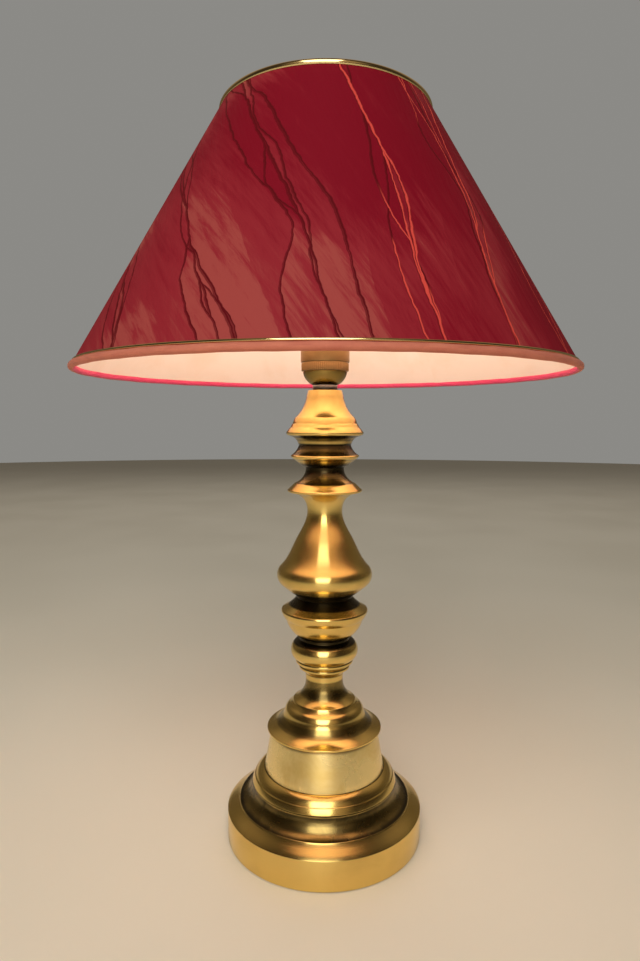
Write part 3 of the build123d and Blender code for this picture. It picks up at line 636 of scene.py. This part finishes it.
# Castings and other turned pieces: the section of each node, its corners eased, spun again
turning = {
    "steps": 160,
    "pieces": {  # name, and the size of the eased corners in millimetres
        "base_plinth": ("plinth", 0.22), "base_band": ("baseBand", 0.25), "base_dome": ("baseDome", 0.22),
        "lower_knop": ("lowerKnop", 0.25), "lower_bowl": ("lowerBowl", 0.25), "pear_bell": ("pearBell", 0.25),
        "neck_ring": ("neckRing", 0.22), "upper_ring": ("upperRing", 0.22), "top_bell": ("topBell", 0.22),
        "lock_collar": ("lockCollar", 0.25), "holder_cap": ("holderCap", 0.25), "top_trim": ("topTrim", 0.30),
        "bottom_piping": ("bottomPiping", 0.12),
    },
}
turnedPieces = {}
brushedBrass = metalMaterial("brushedBrass", brushedLook, 0.012 * mm, 0.88)
shadedCapBrass = metalMaterial("shadedCapBrass", shadedCapLook, 0.02 * mm)
for node, (name, ease) in turning["pieces"].items():
    section = outlineOf(node)
    roundCorners(section, ease * mm)
    spinRound(section, turning["steps"])
    turnedPieces[node] = finishPiece(section, name, node)
turnedPieces["pear_bell"].data.materials[0] = brushedBrass
turnedPieces["holder_cap"].data.materials[0] = shadedCapBrass
print("turned pieces:", len(turnedPieces))


# Lampholder skirt: the same section, with ridges round the knurl and grooves along the thread
skirt = {
    "ridges": 72, "stepsPerRidge": 4, "ridgeDepth": 0.45 * mm, "knurlTop": 6.2 * mm, "knurlWall": 0.2 * mm,
    "threadPitch": 2.2 * mm, "threadDepth": 0.75 * mm, "threadInset": 0.8 * mm,
    "ease": 0.15 * mm, "easeFrom": 40.0,
}


def buildSkirt():
    low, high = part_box("holder_skirt")
    outline = outlineOf("holder_skirt")
    outer = high.x - skirt["threadInset"]
    threadEdge = [e for e in outline.edges if all(abs(v.co.x - outer) < near for v in e.verts)]
    turns = round(sum(e.calc_length() for e in threadEdge) / skirt["threadPitch"])
    made = bmesh.ops.subdivide_edges(outline, edges=threadEdge, cuts=2 * turns - 1)
    cuts = [v for v in made["geom_inner"] if isinstance(v, bmesh.types.BMVert)]
    cuts.sort(key=lambda v: v.co.z)
    for vert in cuts[::2]:
        vert.co.x -= skirt["threadDepth"]
    roundCorners(outline, skirt["ease"], skirt["easeFrom"])
    spinRound(outline, skirt["ridges"] * skirt["stepsPerRidge"])
    for vert in outline.verts:
        reach = vert.co.xy.length
        if vert.co.z < low.z + skirt["knurlTop"] + near and reach > outer - skirt["knurlWall"]:
            swing = 0.5 - 0.5 * math.cos(skirt["ridges"] * math.atan2(vert.co.y, vert.co.x))
            vert.co.xy *= 1 - skirt["ridgeDepth"] * swing / reach
    return finishPiece(outline, "holderSkirt", "holder_skirt")


turnedPieces["holder_skirt"] = buildSkirt()


# Cord hole in the plinth's rear wall
cordHole = {"radius": 5.15 * mm, "sides": 48, "drill": 4}  # the drill's length, in lengths of the gland


def drillCordHole(piece):
    low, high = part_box("cord_gland")
    middle = (low + high) / 2
    work = bmesh.new()
    bmesh.ops.create_cone(work, cap_ends=True, segments=cordHole["sides"], radius1=cordHole["radius"],
                          radius2=cordHole["radius"], depth=cordHole["drill"] * (high.y - low.y))
    bmesh.ops.rotate(work, verts=work.verts, matrix=Matrix.Rotation(math.pi / 2, 3, "X"))
    bmesh.ops.translate(work, verts=work.verts, vec=middle)
    drill = addObject("cordDrill", meshOf(work, "cordDrill"))
    cut = piece.modifiers.new("cordHole", "BOOLEAN")
    cut.operation = "DIFFERENCE"
    cut.solver = "EXACT"
    cut.object = drill
    shape = bpy.data.meshes.new_from_object(piece.evaluated_get(bpy.context.evaluated_depsgraph_get()))
    piece.modifiers.remove(cut)
    piece.data = shape
    shape.set_sharp_from_angle(angle=math.radians(sharpAngle))
    bpy.data.objects.remove(drill)


drillCordHole(turnedPieces["base_plinth"])
print("skirt and cord hole done")


# How closed in each turned surface is, for its patina and the painted shade of its hollows: rays from each
# ring of the section
hollowPatinaShade = {
    "reach": 45 * mm, "rays": 64, "lift": 0.05 * mm, "ring": 0.05 * mm,
    "soft": 0.04,  # share of a piece's height over which an added tone fades in
    "added": {  # from and to, as shares of the piece's height, and how much darker than by its hollow alone; this patina and painted shade is added where positive and taken away where negative
        "base_plinth": [(0.49, 0.76, 0.11), (0.92, 1.1, -0.16)],
        "base_dome": [(0.13, 0.31, 0.14), (0.58, 0.90, 0.105)],
        "base_band": [(-0.2, 0.3, -0.16)],
        "lower_knop": [(-0.1, 0.40, -0.22)],
        "lower_bowl": [(0.50, 0.80, -0.09)],
    },
}


def rayFan(normal, count):
    # rays over the half space that the surface faces, turned by the golden angle from one to the next
    across = normal.orthogonal().normalized()
    along = normal.cross(across)
    for index in range(count):
        share = (index + 0.5) / count
        angle = index * math.pi * (3 - math.sqrt(5))
        flat = math.sqrt(share)
        yield (across * math.cos(angle) + along * math.sin(angle)) * flat + normal * math.sqrt(1 - share)


def fadeIn(value, start, width):
    share = min(max((value - start) / width, 0.0), 1.0)
    return share * share * (3 - 2 * share)


def addedPatinaShade(node, share):
    tone = 0.0
    for start, end, extra in hollowPatinaShade["added"].get(node, []):
        tone += extra * fadeIn(share, start, hollowPatinaShade["soft"]) * fadeIn(-share, -end, hollowPatinaShade["soft"])
    return tone


def closedIn(tree, vert):
    start = vert.co + vert.normal * hollowPatinaShade["lift"]
    closed = 0.0
    for ray in rayFan(vert.normal, hollowPatinaShade["rays"]):
        distance = tree.ray_cast(start, ray, hollowPatinaShade["reach"])[3]
        if distance is not None:
            closed += 1 - distance / hollowPatinaShade["reach"]
    return closed / hollowPatinaShade["rays"]


def markRecesses(pieces):
    whole = bmesh.new()
    for piece in pieces.values():
        whole.from_mesh(piece.data)
    tree = BVHTree.FromBMesh(whole)
    whole.free()
    for node, piece in pieces.items():
        low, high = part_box(node)
        known = {}
        values = []
        for vert in piece.data.vertices:
            ring = (round(vert.co.xy.length / hollowPatinaShade["ring"]), round(vert.co.z / hollowPatinaShade["ring"]))
            if ring not in known:
                share = (vert.co.z - low.z) / (high.z - low.z)
                known[ring] = closedIn(tree, vert) + addedPatinaShade(node, share)
            values.append(known[ring])
        recess = piece.data.attributes.new("recess", "FLOAT", "POINT")
        recess.data.foreach_set("value", values)


# patina and painted shade in the hollows of the turned pieces
markRecesses(turnedPieces)
print("patina marked")


# Shade sheets, cut flat and rolled into cones that lap at the seam
shade = {"seam": 139.0, "lap": 4.0, "lapLift": 0.45 * mm, "columns": 240, "rows": 20, "thickness": 0.5 * mm}


def coneLine(node, outer):
    # radius and height of a sheet's lower and upper edge, on one face of it
    section = outlineOf(node)
    low = min(v.co.z for v in section.verts)
    high = max(v.co.z for v in section.verts)
    pick = max if outer else min
    ends = []
    for level in (low, high):
        ends.append((pick(v.co.x for v in section.verts if abs(v.co.z - level) < tiny), level))
    section.free()
    return ends


def rollSheet(node, name, outer):
    (lowRadius, lowZ), (highRadius, highZ) = coneLine(node, outer)
    # sine of the cone's half angle
    slope = (lowRadius - highRadius) / math.hypot(lowRadius - highRadius, highZ - lowZ)
    lap = math.radians(shade["lap"])
    span = fullTurn + lap
    start = math.radians(shade["seam"]) - fullTurn

    def bend(around, up):
        turn = start + around * span
        radius = lowRadius + (highRadius - lowRadius) * up
        past = (turn - start - fullTurn) / lap + 1
        lift = shade["lapLift"] * max(0.0, min(1.0, past)) * (1 if outer else -1)
        swing = turn * slope
        length = radius / slope
        reach = radius + lift
        point = (reach * math.sin(turn), -reach * math.cos(turn), lowZ + (highZ - lowZ) * up)
        return point, (length * math.sin(swing), -length * math.cos(swing))

    work = bentGrid(shade["columns"], shade["rows"], bend)
    bmesh.ops.recalc_face_normals(work, faces=work.faces)
    first = work.faces[:][0]
    if (first.normal.xy.dot(first.calc_center_median().xy) > 0) != outer:
        bmesh.ops.reverse_faces(work, faces=work.faces)
    work.edges.index_update()
    borders = [edge.index for edge in work.edges if edge.is_boundary]
    sheet = finishPiece(work, name, node)
    # the cut edges stay creases, so that they don't shade the sheet's face
    for index in borders:
        sheet.data.edges[index].use_edge_sharp = True
    wall = sheet.modifiers.new("sheetThickness", "SOLIDIFY")
    wall.thickness = shade["thickness"]
    wall.offset = -1.0
    longest = lowRadius / slope
    shortest = highRadius / slope
    half = span * slope / 2
    area = half * (longest ** 2 - shortest ** 2)
    wide = 2 * longest * math.sin(min(half, math.pi / 2))
    return sheet, (wide, longest - shortest * math.cos(half)), area


cover, coverSize, coverArea = rollSheet("shade_cover", "shadeCover", True)
lining, liningSize, liningArea = rollSheet("shade_lining", "shadeLining", False)
print("shade sheets: cover", [round(x, 3) for x in coverSize], "lining", [round(x, 3) for x in liningSize])


# Rolled hem: a tape round the bottom wire, with slight unevenness along it
def bendHem(around, up):
    turn = around * fullTurn
    roll = up * fullTurn
    ring = hemHigh.x - hem["section"]
    longer = math.sin(hem["longWaves"] * turn + roll)
    shorter = math.sin(hem["shortWaves"] * turn - 2 * roll)
    waver = hem["waver"] * (longer + hem["shortShare"] * shorter)
    section = hem["section"] - hem["waver"] + waver
    reach = ring + section * math.cos(roll)
    middle = (hemLow.z + hemHigh.z) / 2
    point = (reach * math.sin(turn), -reach * math.cos(turn), middle + section * math.sin(roll))
    return point, (turn * ring, roll * hem["section"])


def buildHem():
    work = bentGrid(hem["columns"], hem["rows"], bendHem)
    bmesh.ops.remove_doubles(work, verts=work.verts, dist=tiny)
    bmesh.ops.recalc_face_normals(work, faces=work.faces)
    finishPiece(work, "bottomHem", "bottom_hem")


buildHem()


# Felt pad: a cut disc with a soft, slightly shaggy edge
feltPad = {"sides": 160, "edge": 0.5 * mm, "inset": 6 * mm, "shag": 0.08 * mm, "tufts": 61}


def buildFelt():
    low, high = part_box("felt_pad")
    work = bmesh.new()
    bmesh.ops.create_cone(work, cap_ends=True, segments=feltPad["sides"], radius1=high.x, radius2=high.x,
                          depth=high.z - low.z)
    bmesh.ops.translate(work, verts=work.verts, vec=(0, 0, (low.z + high.z) / 2))
    rims = [e for e in work.edges if abs(e.verts[0].co.z - e.verts[1].co.z) < tiny]
    easeEdges(work, rims, feltPad["edge"], "EDGES")
    caps = [f for f in work.faces if len(f.verts) > 4]
    bmesh.ops.inset_region(work, faces=caps, thickness=feltPad["inset"])
    for vert in work.verts:
        if low.z + feltPad["edge"] - tiny < vert.co.z < high.z - feltPad["edge"] + tiny:
            angle = math.atan2(vert.co.y, vert.co.x)
            vert.co.xy *= 1 - feltPad["shag"] * (1 + math.sin(feltPad["tufts"] * angle)) / high.x
    felt = finishPiece(work, "feltPad", "felt_pad")


buildFelt()


# Bulb: globe spun again, and a screw cap with rolled threads
bulb = {"steps": 128, "threadPitch": 3.63 * mm, "threadDepth": 0.55 * mm, "cutsPerThread": 6}


def buildBulb():
    globe = outlineOf("bulb_glass")
    spinRound(globe, bulb["steps"])
    finishPiece(globe, "bulbGlass", "bulb_glass").visible_shadow = False
    cap = outlineOf("bulb_cap")
    sides = [e for e in cap.edges if abs(e.verts[0].co.x - e.verts[1].co.x) < tiny]
    waves = round(max(e.calc_length() for e in sides) / bulb["threadPitch"])
    bmesh.ops.subdivide_edges(cap, edges=sides, cuts=bulb["cutsPerThread"] * waves - 1)
    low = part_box("bulb_cap")[0].z
    for vert in cap.verts:
        swing = math.cos(fullTurn * (vert.co.z - low) / bulb["threadPitch"])
        vert.co.x -= bulb["threadDepth"] * (0.5 - 0.5 * swing)
    spinRound(cap, bulb["steps"])
    finishPiece(cap, "bulbCap", "bulb_cap")


buildBulb()
print("hem, felt and bulb done")


# Stage: pale floor, soft light, and the camera at the photograph's place
stage = {
    "floorRadius": 6.0, "floorSides": 96, "floorClouds": (3.0, 3.0), "floorRough": (0.3, 0.7, 0.32, 0.42),
    "pale": (0.87, 0.80, 0.645, 1), "paler": (0.91, 0.84, 0.69, 1),
    "camera": (-4.1 * mm, -565.8 * mm, 360.5 * mm), "pitch": 0.087, "roll": 0.002,
    "focal": 664.864, "imageLong": 961, "sensor": 36.0,
}
lights = {
    "glow": {"power": 0.92, "color": (1.0, 0.665, 0.50), "radius": 28 * mm},
    "front": {"power": 47.0, "wide": 1.5, "tall": 2.9, "place": (-0.18, -2.2, 1.75),
              "color": (1.0, 0.96, 0.90), "glossy": True},
    "key": {"power": 6.5, "wide": 1.6, "tall": 1.6, "place": (-1.5, -1.3, 1.5),
            "color": (1.0, 0.97, 0.93), "glossy": False},
    "back": {"power": 22.0, "wide": 4.0, "tall": 2.0, "place": (0.0, 2.6, 2.6),
             "color": (1.0, 0.95, 0.90), "glossy": False},
    "ambient": (0.10, 0.10, 0.097, 1), "backdrop": (0.26, 0.255, 0.24, 1), "room": (0.045, 0.034, 0.024, 1),
    "wallLow": (0.13, 0.102, 0.066, 1), "wallHigh": (0.36, 0.28, 0.20, 1),
    "wallRise": (0.35, 0.75), "wallStart": (-0.2, 0.6),
    "halo": (0.38, 0.28, 0.18, 1), "haloRise": 26.0, "haloEdge": 46.0, "haloCore": 14.0,
}


def buildFloor():
    work = bmesh.new()
    bmesh.ops.create_circle(work, cap_ends=True, segments=stage["floorSides"], radius=stage["floorRadius"])
    floor = addObject("paleFloor", meshOf(work, "paleFloor"))
    material, tree, shader = newMaterial("paleFloor", Specular_IOR_Level=0.3)
    clouds = noiseOf(tree, objectPlace(tree), *stage["floorClouds"])
    shown = mixColor(tree, clouds, stage["pale"], stage["paler"])
    rough = ramp(tree, clouds, *stage["floorRough"])
    paint(tree, shader, shown, rough)
    floor.data.materials.append(material)


def addLight(name, kind, place, look):
    data = bpy.data.lights.new(name, kind)
    data.energy = look["power"]
    data.color = look["color"]
    lamp = addObject(name, data)
    lamp.location = place
    return lamp


def buildLights():
    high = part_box("bulb_glass")[1]
    glow = addLight("bulbGlow", "POINT", (0, 0, high.z - high.x), lights["glow"])
    glow.data.shadow_soft_size = lights["glow"]["radius"]
    middle = Vector((0, 0, (cadLow.z + cadHigh.z) / 2))
    for name in ("front", "key", "back"):
        look = lights[name]
        lamp = addLight(name, "AREA", look["place"], look)
        lamp.rotation_euler = (middle - Vector(look["place"])).to_track_quat("-Z", "Y").to_euler()
        lamp.data.shape = "RECTANGLE"
        lamp.data.size = look["wide"]
        lamp.data.size_y = look["tall"]
        lamp.visible_glossy = look["glossy"]


def buildWorld():
    world = bpy.data.worlds.new("studio")
    bpy.context.scene.world = world
    world.use_nodes = True
    tree = world.node_tree
    path = put(tree, "LightPath").outputs
    way = put(tree, "TexCoord").outputs["Generated"]
    rise = math.radians(lights["haloRise"])
    aim = (0, -math.cos(rise), math.sin(rise))
    toward = put(tree, "VectorMath", {0: way, 1: aim}, operation="DOT_PRODUCT")
    edges = [math.cos(math.radians(lights[name])) for name in ("haloEdge", "haloCore")]
    halo = ramp(tree, toward.outputs["Value"], *edges)
    part = splitOf(tree, way)
    wall = mixColor(tree, ramp(tree, part["Z"], *lights["wallRise"]), lights["wallLow"], lights["wallHigh"])
    room = mixColor(tree, ramp(tree, part["Y"], *lights["wallStart"]), lights["room"], wall)
    room = mixColor(tree, halo, room, lights["halo"])
    shown = mixColor(tree, path["Is Glossy Ray"], lights["ambient"], room)
    shown = mixColor(tree, path["Is Camera Ray"], shown, lights["backdrop"])
    tree.links.new(shown, tree.nodes["Background"].inputs["Color"])


def buildCamera():
    data = bpy.data.cameras.new("photoCamera")
    data.sensor_width = stage["sensor"]
    data.lens = stage["focal"] / stage["imageLong"] * stage["sensor"]
    camera = addObject("photoCamera", data)
    camera.location = stage["camera"]
    pitch = Matrix.Rotation(math.pi / 2 - stage["pitch"], 3, "X")
    roll = Matrix.Rotation(stage["roll"], 3, "Z")
    camera.rotation_euler = (pitch @ roll).to_euler()
    bpy.context.scene.camera = camera


buildFloor()
buildLights()
buildWorld()
buildCamera()
bpy.context.scene.view_settings.view_transform = "Standard"
print("stage, lights and camera set")
